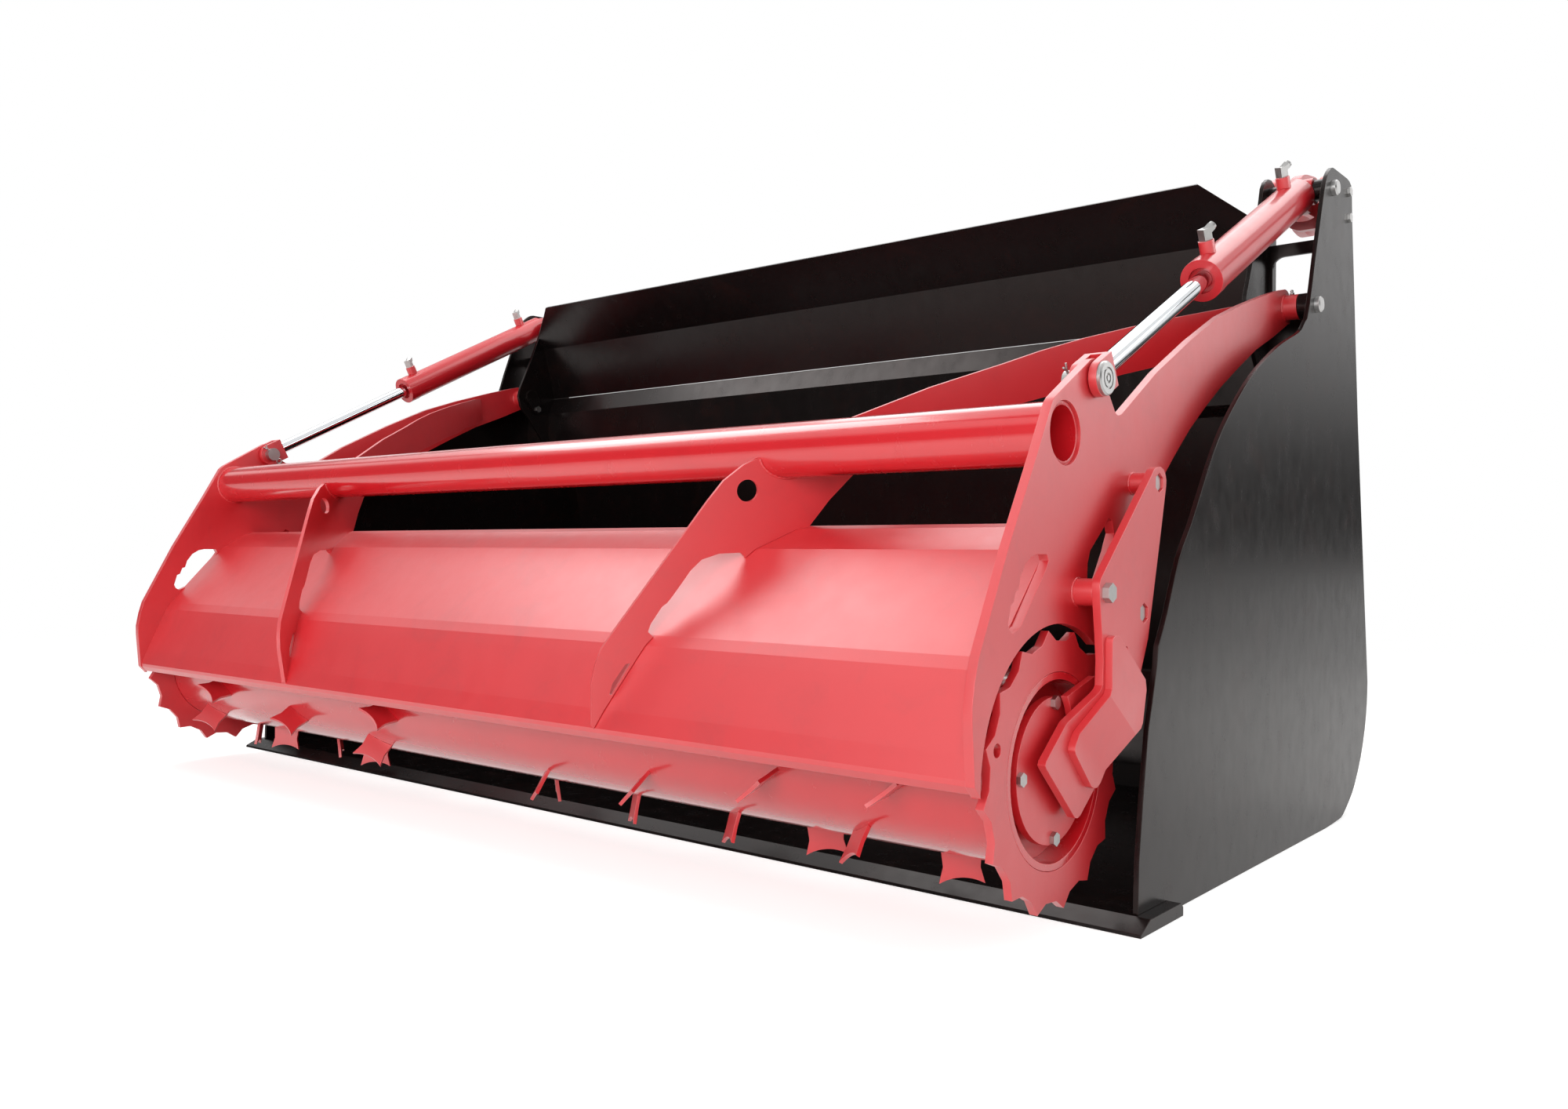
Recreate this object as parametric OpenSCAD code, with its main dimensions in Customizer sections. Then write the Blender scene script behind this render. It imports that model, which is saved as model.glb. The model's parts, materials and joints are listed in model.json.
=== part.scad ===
// Silage cutting bucket: a black bucket with a red grab frame that carries a toothed
// cutting rotor, moved by two cylinders. X runs across, Y to the rear, Z up.
// Origin: middle of the width, at the tip of the cutting edge, on the ground.
// Outlines are shares of half_w, measured from the middle of the cross tube.

/* [Overall] */
// Half the width over the grab arms, which all outlines follow
half_w = 1172; // [1100:4:1240]
// How far the wear bar stands out past each side plate
bar_over = 21.7; // [5:0.1:80]

/* [Bucket] */
// Thickness of the side plates
side_t = 8; // [6:1:12]
// Thickness of the floor and back sheet
sheet_t = 6; // [4:1:10]
// Thickness of the upper panel
panel_t = 6; // [4:1:10]
// Thickness of the inner tower plates
tower_t = 8; // [6:1:12]
// Thickness of the windowed webs between the towers
web_t = 8; // [6:1:12]
// Corner radius of the web window
web_corner_r = 22; // [10:1:30]
// Thickness of the cross beam wall
beam_t = 8; // [5:1:10]
// Thickness of the wear bar
bar_t = 20; // [16:1:24]
// Thickness of the rear hitch hooks
hook_t = 20; // [15:1:30]
// Distance of the inner hook from the outer one
hook_gap = 45; // [40:1:60]
// Diameter of the round throat of the hooks
throat_d = 60; // [56:1:70]
// Outer diameter of the hitch cross tube
hitch_tube_d = 40; // [30:1:44]
// Depth of the strap beside the hooks
strap_t = 18; // [12:1:22]

/* [Grab frame] */
// Thickness of the arm plates
arm_t = 14; // [10:1:16]
// Outer diameter of the cross tube
tube_d = 88.9; // [80:0.1:92]
// Wall of the cross tube
tube_wall = 6; // [4:0.5:10]
// How far the tube ends sit inside the arm faces
tube_recess = 4; // [1:1:8]
// Thickness of the folded hood
hood_t = 4.5; // [3:0.5:5]
// Thickness of the oblique rib plates
rib_t = 8; // [6:1:12]
// Diameter of the hole in each rib
rib_hole_d = 36; // [20:1:40]
// Thickness of the rotor brackets
bracket_t = 12; // [8:1:13]
// Thickness of the bracket doublers
cover_t = 11; // [5:1:12]
// Thickness of the bracket gussets
gusset_t = 10; // [6:0.5:12]
// How far the gussets stand in behind the bracket tongues
gusset_back = 4.5; // [2:0.5:5]
// Diameter of the upper bracket spacers
spacer_top_d = 32; // [28:1:40]
// Diameter of the middle bracket spacers
spacer_mid_d = 38; // [30:1:44]
// Shank diameter of the bracket bolts
bracket_bolt_d = 16; // [12:1:18]
// Width over the flats of the bracket bolt heads
bracket_head_w = 24; // [20:1:28]
// Height of the bracket bolt heads
bracket_head_h = 10; // [5:1:12]
// Depth of the sunk bolt heads below the bracket face
bolt_sink = 4; // [2:0.5:6]

/* [Rotor] */
// Outer diameter of the drum
drum_d = 267; // [250:1:270]
// Wall of the drum
drum_wall = 10; // [6:1:14]
// Width of the toothed discs from the drum to the tooth roots
disc_rim_w = 42.5; // [30:0.5:44]
// Height of the teeth on those discs
tooth_h = 15.6; // [8:0.2:16]
// Thickness of the toothed discs
disc_t = 12; // [8:1:14]
// Number of teeth on each disc
tooth_count = 16; // [8:1:24]
// Gap between the drum and the hole of each disc
disc_gap = 0.3; // [0.1:0.1:1]
// Diameter of the small hole in each disc
disc_hole_d = 18; // [10:1:22]
// Height of the knife tips over the drum
knife_h = 50.5; // [36:0.5:54]
// Width of a knife at its tips
knife_tip_w = 66; // [50:1:80]
// Width of a knife at the drum
knife_root_w = 58; // [40:1:70]
// Hollow of the outer edge of a knife
knife_hollow = 9; // [4:1:14]
// Clearance of the arms around the toothed discs
disc_clear = 7; // [4:0.5:10]
// Thickness of the knives
knife_t = 6; // [4:1:8]
// Twist of the knives about their own height
knife_twist = 36; // [20:1:50]
// Diameter of the end flanges
flange_d = 200; // [190:1:216]
// Thickness of the end flanges
flange_t = 12; // [8:1:16]
// Distance from the rim of the end flanges to their bolts
flange_bolt_edge = 8; // [7:0.5:12]
// Number of bolts on each end flange
flange_bolt_count = 4; // [2:1:8]
// Shank diameter of the flange bolts
flange_bolt_d = 10; // [8:1:10]
// Width over the flats of the flange bolt heads
flange_head_w = 17; // [14:1:18]
// Height of the flange bolt heads
flange_head_h = 6.4; // [4:0.2:7]
// Diameter of the motor and bearing spigots
spigot_d = 40; // [30:1:100]

/* [Pins] */
// Diameter of the grab pivot pins and cylinder base pins
pin_d = 30; // [25:1:35]
// How far those pins stand out of the side plates
pin_out = 11; // [6:1:16]
// Chamfer at the pin ends
pin_chamfer = 3; // [1:0.5:5]
// Diameter of the rings and sleeves around those pins
ring_d = 48; // [42:1:60]
// Diameter of the rings beside the base eyes
eye_ring_d = 42; // [38:1:46]
// Length of the sleeve on each face of an arm
sleeve_len = 26; // [15:1:35]
// Thickness of the pin keeper plates
keeper_t = 8; // [5:1:12]
// Diameter of the keeper bolt shanks
keeper_bolt_d = 10; // [8:1:12]
// Width over the flats of the keeper bolt heads
keeper_head_w = 17; // [14:1:20]
// Running clearance on each side of a pin
run_gap = 0.08; // [0.02:0.01:0.1]
// Free gap between faces that slide past each other
side_gap = 1; // [0.3:0.1:1.5]

/* [Cylinders] */
// Outer diameter of the barrels
barrel_d = 70; // [60:1:76]
// Bore of the barrels
barrel_bore_d = 56; // [46:1:58]
// Outer diameter of the glands
gland_d = 72; // [68:1:78]
// Length of the glands
gland_len = 32; // [24:1:34]
// Diameter of the recess in the gland face
gland_recess_d = 44; // [36:1:52]
// Depth of the recess in the gland face
gland_recess_h = 9; // [4:1:14]
// Rod diameter
rod_d = 30; // [26:1:34]
// Length of the base eyes
eye_len = 60; // [40:1:70]
// Outer diameter of the base eyes
eye_d = 52; // [46:1:60]
// Diameter of the port bosses
port_d = 26; // [20:1:30]
// Height of the port bosses above the barrel
port_h = 20; // [12:1:26]
// Width of the elbow fittings
elbow_w = 16; // [12:1:20]
// Height of the elbow fittings
elbow_h = 20; // [14:1:26]
// Which way the elbow fittings point, turned from the line down to the rod
elbow_turn = 150; // [90:5:240]
// Thickness of the clevis cheeks
cheek_t = 12; // [8:1:16]
// Radius of the clevis cheeks
cheek_r = 26; // [22:1:28]
// Shank diameter of the rod pins
rod_pin_d = 20; // [16:1:22]
// Diameter of the rod pin heads
rod_head_d = 49; // [40:1:52]
// Height of the rod pin heads
rod_head_h = 7; // [5:1:12]
// Diameter of the inner end collars of the rod pins
rod_collar_d = 32; // [26:1:36]
// Wire diameter of the split pins
wire_d = 4; // [3:0.5:5]

/* [Hidden] */
$fn = 64;
// Overrun of every cut past its faces
cut = 5;
// Where the cutting edge tip and the ground lie from the tube middle
tip_y_share = 0.0684;
ground_share = 0.588;

function y_of(s) = half_w * (s - tip_y_share);
function z_of(s) = half_w * (s + ground_share);
function at(s) = [y_of(s[0]), z_of(s[1])];
function all_at(l) = [for (s = l) at(s)];

// Planes across the width
arm_in = half_w - arm_t;
arm_mid = half_w - arm_t / 2;
side_in_share = 1.0412;
side_in = half_w * side_in_share;
side_out = side_in + side_t;
bar_end = side_out + bar_over;
tower_in_share = 0.941;
tower_in = half_w * tower_in_share;
tower_out = tower_in + tower_t;

// Fixed points seen from the side
pivot_share = [0.770, 0.268];
base_pin_share = [0.8533, 0.4755];
rod_pin_share = [0.0745, 0.0717];
rotor_share = [-0.0143, -0.3891];
tube_share = [0, 0.001];
pivot = at(pivot_share);
base_pin = at(base_pin_share);
rod_pin = at(rod_pin_share);
rotor = at(rotor_share);
disc_root_r = drum_d / 2 + disc_rim_w;
disc_tip_r = disc_root_r + tooth_h;
knife_tip_r = drum_d / 2 + knife_h;
function around(l, r) = [for (s = l) polar(rotor_share, r / half_w + s[1], s[0])];
tube = at(tube_share);

// Cylinder line from the base pin down to the rod pin
reach = norm(rod_pin - base_pin);
tilt = atan2(base_pin[1] - rod_pin[1], base_pin[0] - rod_pin[0]);
barrel_share = 0.5527;
barrel_len = reach * barrel_share;

// Side outlines
side_low_shares = [[0.102, -0.571], [0.1039, -0.508], [0.1149, -0.431], [0.1286, -0.351], [0.138, -0.323],
    [0.152, -0.276]];
side_sweep_shares = [[0.1554, -0.2525], [0.1828, -0.21], [0.218, -0.144], [0.258, -0.098], [0.296, -0.048],
    [0.326, -0.009], [0.365, 0.033], [0.423, 0.081], [0.484, 0.123], [0.557, 0.161], [0.602, 0.181],
    [0.636, 0.1935], [0.683, 0.21], [0.7, 0.219]];
side_tower_shares = [[0.715, 0.232], [0.725, 0.239], [0.737, 0.264], [0.75, 0.301], [0.762, 0.338],
    [0.807, 0.46], [0.813, 0.474], [0.821, 0.487], [0.831, 0.497], [0.842, 0.505], [0.849, 0.5085],
    [0.856, 0.51], [0.934, 0.511], [0.948, 0.5095], [0.958, 0.505], [0.961, 0.501], [0.963, 0.495],
    [0.967, 0.443], [0.984, 0.311], [0.992, 0.244], [1.011, 0.097]];
heel_shares = [[1.085, -0.363], [1.082, -0.402], [1.07, -0.446], [1.045, -0.495], [1.0086, -0.538],
    [0.982, -0.558], [0.941, -0.58], [0.915, -0.585], [0.842, -0.588]];
bar_shares = [[0.0684, -0.588], [0.0694, -0.584], [0.0963, -0.571], [0.188, -0.571], [0.1947, -0.577],
    [0.1947, -0.588]];
back_top_share = 0.2;
back_top_y_share = 0.9977;
panel_shares = [[0.75, 0.492], [0.813, 0.4], [0.85, 0.272]];
panel_corner_x_share = 0.853;
panel_corner_z_share = 0.428;
beam_shares = [[0.85, 0.2715], [0.831, 0.229], [0.831, 0.124], [1.0018, 0.124], [0.9918, 0.2]];
tower_shares = [[0.763, 0.214], [0.744, 0.232], [0.736, 0.245], [0.73, 0.268], [0.735, 0.29], [0.764, 0.352],
    [0.795, 0.428], [0.807, 0.463], [0.813, 0.484], [0.823, 0.497], [0.837, 0.505], [0.853, 0.507],
    [0.868, 0.502], [0.878, 0.49], [0.88, 0.474], [0.88, 0.27], [0.905, 0.225], [0.991, 0.2],
    [1.0012, 0.124], [0.835, 0.124], [0.8, 0.17]];
web_y_share = 0.84;
web_top_share = 0.391;
web_low_share = 0.13;
window_top_share = 0.37;
window_low_share = 0.281;
window_side_share = 0.007;
keeper_bolt_share = [0.788, 0.238];
base_keeper_bolt_share = [0.858, 0.437];
hook_bolt_shares = [[0.9425, 0.4893], [0.9437, 0.4451]];

// The edges beside the rotor are angles about its axis and distances from its tips
arm_round_shares = [[178.33, 0.0181], [158.96, 0.03731], [154.61, 0.04429], [147.96, 0.05253], [141.88, 0.06073]];
arm_front_shares = concat(around(arm_round_shares, disc_tip_r), [[-0.1312, -0.1353], [-0.0688, -0.0293], [-0.0334, 0.0338], [-0.0263, 0.0405],
    [-0.0063, 0.0527]]);
ear_r_share = 0.025;
ear_back_r_share = 0.0235;
arm_top_shares = [[0.1164, 0.0555], [0.1316, 0.0375], [0.1365, 0.0345], [0.1424, 0.0344], [0.151, 0.037],
    [0.257, 0.102], [0.375, 0.162], [0.4827, 0.211], [0.572, 0.242], [0.679, 0.275], [0.752, 0.295]];
arm_end_r_share = 0.0305;
arm_low_shares = [[0.786, 0.245], [0.712, 0.213], [0.631, 0.181], [0.556, 0.144], [0.485, 0.107],
    [0.426, 0.072], [0.37, 0.036], [0.318, -0.004], [0.294, -0.0235], [0.262, -0.052], [0.225, -0.09],
    [0.185, -0.14], [0.15, -0.185], [0.12, -0.215], [0.095, -0.235], [0.08, -0.25], [-0.17, -0.397],
    [-0.1836, -0.3969]];
arm_slot_shares = [[-0.0425, -0.1402], [-0.0669, -0.1404], [-0.079, -0.143], [-0.092, -0.151],
    [-0.103, -0.1655], [-0.107, -0.179], [-0.113, -0.181], [-0.1175, -0.193], [-0.1235, -0.1955],
    [-0.1295, -0.216], [-0.1265, -0.2225], [-0.1196, -0.227], [-0.1025, -0.22], [-0.046, -0.158],
    [-0.0385, -0.147]];
arm_window_shares = [[0.0587, -0.168], [0.0592, -0.151], [0.066, -0.135], [0.103, -0.106], [0.116, -0.094],
    [0.125, -0.097], [0.132, -0.113], [0.12, -0.135], [0.095, -0.17], [0.075, -0.178]];
hood_round_shares = [[131.8, 0.02558], [137.17, 0.0226], [142.33, 0.01824], [168.06, 0.01748],
    [176.48, 0.02354], [178.37, 0.02278], [181.46, 0.01526]];
hood_shares = concat([[0.041, -0.102], [0.024, -0.107], [0.003, -0.119], [-0.025, -0.135]],
    around(hood_round_shares, knife_tip_r));
rib_round_shares = [[141.72, 0.06429], [146.9, 0.0611], [152.41, 0.05479], [158.93, 0.0463],
    [174.06, 0.02769], [175.2, 0.0275]];
rib_front_shares = concat([[-0.03, -0.007], [-0.0535, -0.021], [-0.0755, -0.043], [-0.092, -0.071]],
    around(rib_round_shares, knife_tip_r));
rib_back_shares = [[0.062, -0.0655], [0.089, -0.029], [0.306, 0.082], [0.344, 0.095], [0.453, 0.134],
    [0.503, 0.149], [0.543, 0.166], [0.605, 0.184], [0.638, 0.197], [0.638, 0.253], [0.613, 0.249], [0.527, 0.226],
    [0.459, 0.206], [0.387, 0.183], [0.327, 0.1605], [0.275, 0.138], [0.1775, 0.098], [0.077, 0.0495],
    [0.028, 0.025]];
rib_x_share = 0.581;
rib_y_slope = 0.5635;
rib_z_slope = 0.1705;
hood_edge_shares = [for (i = [0 : 8]) hood_shares[i]];
hood_reach_share = 0.03;
rib_hole_share = [-0.0445, -0.0555];
rib_window_shares = [[-0.0695, -0.1416], [-0.043, -0.14], [-0.035, -0.147], [-0.0385, -0.156],
    [-0.105, -0.226], [-0.119, -0.246], [-0.135, -0.2565], [-0.144, -0.248], [-0.142, -0.237],
    [-0.131, -0.214], [-0.1255, -0.209], [-0.1195, -0.199], [-0.102, -0.165], [-0.09, -0.15]];
rib_slot_shares = [[-0.16, -0.29], [-0.166, -0.291], [-0.179, -0.317], [-0.181, -0.332], [-0.1775, -0.333]];

bracket_out_share = 1.0355;
tongue_out_share = 1.0152;
fold_share = [0.025, -0.298];
fold_turn = -36.4;
tongue_share = 0.055;
bracket_shares = [[0.162, -0.039], [0.166, -0.0345], [0.171, -0.0315], [0.1796, -0.0288], [0.189, -0.0283],
    [0.197, -0.031], [0.203, -0.0366], [0.206, -0.044], [0.2055, -0.0515], [0.1888, -0.1155], [0.1695, -0.1855],
    [0.1535, -0.2435], [0.129, -0.2905], [0.131, -0.304],
    [0.121, -0.344], [0.116, -0.351], [0.1, -0.3575], [0.053, -0.415], [0.015, -0.4425], [0.0085, -0.4448],
    [0.002, -0.4437], [-0.0685, -0.3785], [-0.0715, -0.3745], [-0.069, -0.3695], [0.02, -0.3], [0.0275, -0.291],
    [0.029, -0.262], [0.025, -0.231], [0.0185, -0.187], [0.0178, -0.1745], [0.0215, -0.167]];
cover_shares = [[0.033, -0.242], [0.035, -0.2365], [0.041, -0.234], [0.052, -0.2345], [0.126, -0.2905],
    [0.129, -0.304], [0.119, -0.343], [0.114, -0.349], [0.099, -0.355], [0.047, -0.4085], [0.0385, -0.4125],
    [0.0295, -0.412], [0.0235, -0.409], [-0.0165, -0.3675], [-0.019, -0.363], [-0.0175, -0.3565],
    [0.028, -0.303], [0.033, -0.295]];
gusset_shares = [[-0.0095, -0.303], [0.0605, -0.2845], [0.062, -0.3], [0.06, -0.34], [0.012, -0.348],
    [-0.001, -0.3157]];
spacer_top_share = [0.1846, -0.0485];
spacer_mid_share = [0.0345, -0.184];
third_bolt_share = [0.1418, -0.2108];
sunk_bolt_shares = [spacer_top_share, third_bolt_share];
small_hole_share = [0.0913, -0.2525];

// Play of the open pivot in the arm ear, along the way the rod pin drifts
ear_up_share = 0.0113;
ear_down_share = 0.0106;
ear_side_share = 0.0015;
ear_play_share = 0.002;
cheek_back_share = 0.0345;
bridge_share = 0.0287;
ear_free_share = 0.0019;
keeper_r_share = 0.019;
keeper_end_r_share = 0.0125;
motor_len_share = 0.1;
port_front_share = 0.5045;
port_back_share = 0.085;
rod_end_share = 0.24;

// Hitch hooks behind the towers
hook_shares = [[0.885, 0.466], [0.9318, 0.4632], [0.9591, 0.4649], [0.9897, 0.4667], [1.02, 0.457],
    [1.06, 0.454], [1.1, 0.466], [1.118, 0.495],
    [1.115, 0.53], [1.09, 0.552], [1.06, 0.558], [1.044, 0.551], [1.038, 0.535], [1.039, 0.52],
    [1.041, 0.505], [1.035, 0.492], [1.018, 0.4865], [1.002, 0.493], [0.996, 0.507], [0.99, 0.52],
    [0.972, 0.531], [0.945, 0.529], [0.905, 0.522], [0.884, 0.51], [0.878, 0.488]];
// Red strap between the outer hook and the side plate, seen from the front
strap_shares = [[0.942, 0.4514], [0.9471, 0.4462], [0.9531, 0.442], [0.9616, 0.4377], [0.9684, 0.436],
    [0.9778, 0.436], [1.0412, 0.436], [1.0412, 0.482], [0.9846, 0.4787], [0.96, 0.478], [0.96, 0.4735],
    [0.9744, 0.4676], [0.983, 0.4625], [0.9923, 0.4556], [0.9863, 0.4531], [0.9795, 0.4514], [0.971, 0.4514],
    [0.9642, 0.4522], [0.9573, 0.4548], [0.95, 0.4595]];
strap_y_share = 0.95;
throat_share = [1.018, 0.507];
hook_x_share = 0.97;
hitch_tube_share = [0.903, 0.4905];

// Rotor layout
root_lead_share = 0.289;
root_trail_share = 0.711;
tooth_start = 74.9;
disc_hole_turn = 164;
disc_hole_share = 0.717;
disc_in = arm_in + (arm_t - disc_t) / 2;
flange_face_share = 0.995;
flange_out = half_w * flange_face_share;
bulkhead_gap = 18;
neck_d = 130;
flange_bolt_circle_d = flange_d - 2 * flange_bolt_edge;
knife_places = [[-0.875, -132, 1], [-0.773, -166, 1], [-0.712, -95, 1], [-0.51, -149, 1], [-0.4, -91, 1],
    [-0.275, -130, 1], [-0.19, -167, 1], [-0.805, -99, -1], [-0.56, -82, -1], [0.173, -126, -1],
    [0.09, -80, -1], [0.413, -144, -1], [0.33, -103, -1], [0.655, -162, -1], [0.54, -111, -1],
    [0.774, -128, -1], [0.655, -84, 1], [0.868, -86, 1], [-0.62, 172, -1], [-0.35, 158, -1],
    [-0.02, 170, 1], [0.28, 165, 1], [0.5, 150, 1], [0.86, -171, -1], [-0.86, 60, -1], [-0.7, 20, 1],
    [-0.54, 96, 1], [-0.4, 38, -1], [-0.24, 76, -1], [-0.1, 8, 1], [0.06, 110, 1], [0.2, 44, -1],
    [0.36, 82, 1], [0.48, 14, -1], [0.62, 60, 1], [0.76, 104, -1], [0.88, 28, 1], [-0.08, -56, -1],
    [0.42, -40, 1], [-0.3, -44, -1], [0.74, -30, -1], [-0.66, -38, 1]];

function unit(v) = v / norm(v);
function turned(v) = [-v[1], v[0]];
function polar(c, r, a) = [c[0] + r * cos(a), c[1] + r * sin(a)];
// Points on an arc about c from angle a to angle b in n steps
function arc(c, r, a, b, n) = [for (i = [0 : n]) polar(c, r, a + (b - a) * i / n)];
// A path shifted sideways by d with mitred corners
function shifted(p, d, ring) = [for (i = [0 : len(p) - 1])
    let (n = len(p),
         a = ring ? p[(i + n - 1) % n] : p[max(i - 1, 0)],
         b = p[i],
         c = ring ? p[(i + 1) % n] : p[min(i + 1, n - 1)],
         n1 = a == b ? turned(unit(c - b)) : turned(unit(b - a)),
         n2 = b == c ? n1 : turned(unit(c - b)),
         m = n1 + n2)
    b + m * (2 * d / (m * m))];
function reversed(p) = [for (i = [len(p) - 1 : -1 : 0]) p[i]];
// A smooth curve through the points of a path
function blend(a, b, c, d, t) = b + ((c - a) * t + (2 * a - 5 * b + 4 * c - d) * t * t
    + (3 * b - a - 3 * c + d) * t * t * t) / 2;
function smooth(p, steps) = concat([for (i = [0 : len(p) - 2]) for (k = [0 : steps - 1])
    blend(p[max(i - 1, 0)], p[i], p[i + 1], p[min(i + 2, len(p) - 1)], k / steps)], [p[len(p) - 1]]);

module strip(p, t) {
    polygon(concat(p, reversed(shifted(p, t, false))));
}
// A flat plate in the side view with its near face at x0
module slab(x0, t) {
    translate([x0, 0, 0]) rotate([90, 0, 90]) linear_extrude(height = t) children();
}
// A round bar across the width
module bar_x(x0, x1, c, d) {
    translate([x0, c[0], c[1]]) rotate([0, 90, 0]) cylinder(h = x1 - x0, d = d);
}
// A hexagonal head across the width
module hex_x(x0, h, c, w) {
    translate([x0, c[0], c[1]]) rotate([0, 90, 0]) cylinder(h = h, d = w / cos(30), $fn = 6);
}
module other() {
    mirror([1, 0, 0]) children();
}
module both() {
    children();
    other() children();
}

// Bucket
module side_outline() {
    polygon(concat(all_at(side_low_shares), smooth(all_at(side_sweep_shares), 3), all_at(side_tower_shares),
        smooth(all_at(heel_shares), 2), [at([bar_shares[5][0], -ground_share]),
        at([bar_shares[4][0], bar_shares[4][1]]), at([bar_shares[3][0], bar_shares[3][1]])]));
}
module side_plate() {
    difference() {
        slab(side_in, side_t) side_outline();
        bar_x(side_in - cut, side_out + cut, pivot, pin_d + 2 * run_gap);
        bar_x(side_in - cut, side_out + cut, base_pin, pin_d + 2 * run_gap);
        for (s = hook_bolt_shares)
            bar_x(side_in - cut, side_out + cut, at(s), keeper_bolt_d + 2 * run_gap);
    }
}
module side_plate_right() {
    color("#2b2b2c") side_plate();
}
module side_plate_left() {
    color("#2b2b2c") other() side_plate();
}
module wear_bar() {
    color("#3a3a3b") slab(-bar_end, 2 * bar_end) polygon(all_at(bar_shares));
}
module back_sheet() {
    path = concat([at([bar_shares[5][0], -ground_share])], reversed(smooth(all_at(heel_shares), 3)),
        [at([1.011, 0.097]), at([back_top_y_share, back_top_share])]);
    color("#222223") slab(-side_in, 2 * side_in) strip(path, sheet_t);
}
module upper_panel() {
    corner_x = half_w * panel_corner_x_share;
    low_z = z_of(panel_corner_z_share);
    top_z = z_of(panel_shares[0][1]) + panel_t;
    color("#242021") difference() {
        slab(-tower_in, 2 * tower_in) strip(all_at(panel_shares), panel_t);
        both() translate([0, y_of(panel_shares[2][0]), 0]) rotate([90, 0, 0]) linear_extrude(height = half_w)
            polygon([[tower_in + cut, low_z], [tower_in, low_z], [corner_x, top_z],
                [corner_x, top_z + cut], [tower_in + cut, top_z + cut]]);
    }
}
module cross_beam() {
    shell = all_at(beam_shares);
    color("#222223") slab(-tower_in, 2 * tower_in) difference() {
        polygon(shell);
        polygon(shifted(shell, beam_t, true));
    }
}
module inner_tower() {
    difference() {
        slab(tower_in, tower_t) polygon(all_at(tower_shares));
        bar_x(tower_in - cut, tower_out + cut, pivot, pin_d + 2 * run_gap);
        bar_x(tower_in - cut, tower_out + cut, base_pin, pin_d + 2 * run_gap);
        bar_x(tower_in - cut, tower_out + cut, at(keeper_bolt_share), keeper_bolt_d + 2 * run_gap);
        bar_x(tower_in - cut, tower_out + cut, at(base_keeper_bolt_share), keeper_bolt_d + 2 * run_gap);
    }
}
module inner_tower_right() {
    color("#2b2b2c") inner_tower();
}
module inner_tower_left() {
    color("#2b2b2c") other() inner_tower();
}
module tower_web() {
    x0 = tower_out + half_w * window_side_share;
    x1 = side_in - half_w * window_side_share;
    z0 = z_of(window_low_share);
    z1 = z_of(window_top_share);
    r = web_corner_r;
    translate([0, y_of(web_y_share) + web_t, 0]) rotate([90, 0, 0]) linear_extrude(height = web_t)
        difference() {
            polygon([[tower_out, z_of(web_low_share)], [side_in, z_of(web_low_share)],
                [side_in, z_of(web_top_share)], [tower_out, z_of(web_top_share)]]);
            polygon(concat(arc([x1 - r, z1 - r], r, 0, 90, 6), arc([x0 + r, z1 - r], r, 90, 180, 6),
                arc([x0 + r, z0 + r], r, 180, 270, 6), arc([x1 - r, z0 + r], r, 270, 360, 6)));
        }
}
module tower_web_right() {
    color("#1f1f20") tower_web();
}
module tower_web_left() {
    color("#1f1f20") other() tower_web();
}
module hitch_hook() {
    x0 = half_w * hook_x_share;
    for (x = [x0, x0 - hook_gap])
        difference() {
            slab(x, hook_t) polygon(smooth(all_at(concat(hook_shares, [hook_shares[0]])), 3));
            bar_x(x - cut, x + hook_t + cut, at(hitch_tube_share), hitch_tube_d + 2 * run_gap);
            bar_x(x - cut, x + hook_t + cut, at(throat_share), throat_d);
        }
    translate([0, y_of(strap_y_share) + strap_t / 2, 0]) rotate([90, 0, 0]) linear_extrude(height = strap_t)
        polygon([for (s = strap_shares) [half_w * s[0], z_of(s[1])]]);
}
module hitch_hook_right() {
    color("#b3262c") hitch_hook();
}
module hitch_hook_left() {
    color("#b3262c") other() hitch_hook();
}

module hitch_tube() {
    bar_x(half_w * hook_x_share - hook_gap, side_in, at(hitch_tube_share), hitch_tube_d);
}
module hitch_tubes() {
    color("#2b2b2c") both() hitch_tube();
}
module hook_bolts() {
    color("#b9babb") both() for (s = hook_bolt_shares) {
        bar_x(side_in, side_out, at(s), keeper_bolt_d);
        hex_x(side_out, keeper_head_w / 3, at(s), keeper_head_w);
    }
}
// A pin whose outer end is chamfered
module tower_pin(c) {
    r = pin_d / 2;
    end = side_out + pin_out;
    translate([0, c[0], c[1]]) rotate([0, 90, 0]) rotate_extrude()
        polygon([[0, tower_in], [r, tower_in], [r, end - pin_chamfer], [r - pin_chamfer, end], [0, end]]);
}
module grab_pivot_pins() {
    color("#c9cacb") both() tower_pin(pivot);
}
module base_pins() {
    color("#c9cacb") both() tower_pin(base_pin);
}
// A ring across the width that turns on a pin
module ring_x(x0, x1, c, outer, inner) {
    difference() {
        bar_x(x0, x1, c, outer);
        bar_x(x0 - cut, x1 + cut, c, inner);
    }
}
module keeper(c, b) {
    r0 = half_w * keeper_r_share;
    r1 = half_w * keeper_end_r_share;
    turn = atan2(b[1] - c[1], b[0] - c[0]);
    lean = acos((r0 - r1) / norm(b - c));
    difference() {
        slab(tower_in - keeper_t, keeper_t) polygon(concat(arc(c, r0, turn + lean, turn + 360 - lean, 24),
            arc(b, r1, turn - lean, turn + lean, 16)));
        bar_x(tower_in - keeper_t - cut, tower_in + cut, b, keeper_bolt_d + 2 * run_gap);
    }
}
module pin_keepers() {
    color("#2f2f30") both() {
        keeper(pivot, at(keeper_bolt_share));
        keeper(base_pin, at(base_keeper_bolt_share));
    }
}
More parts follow.
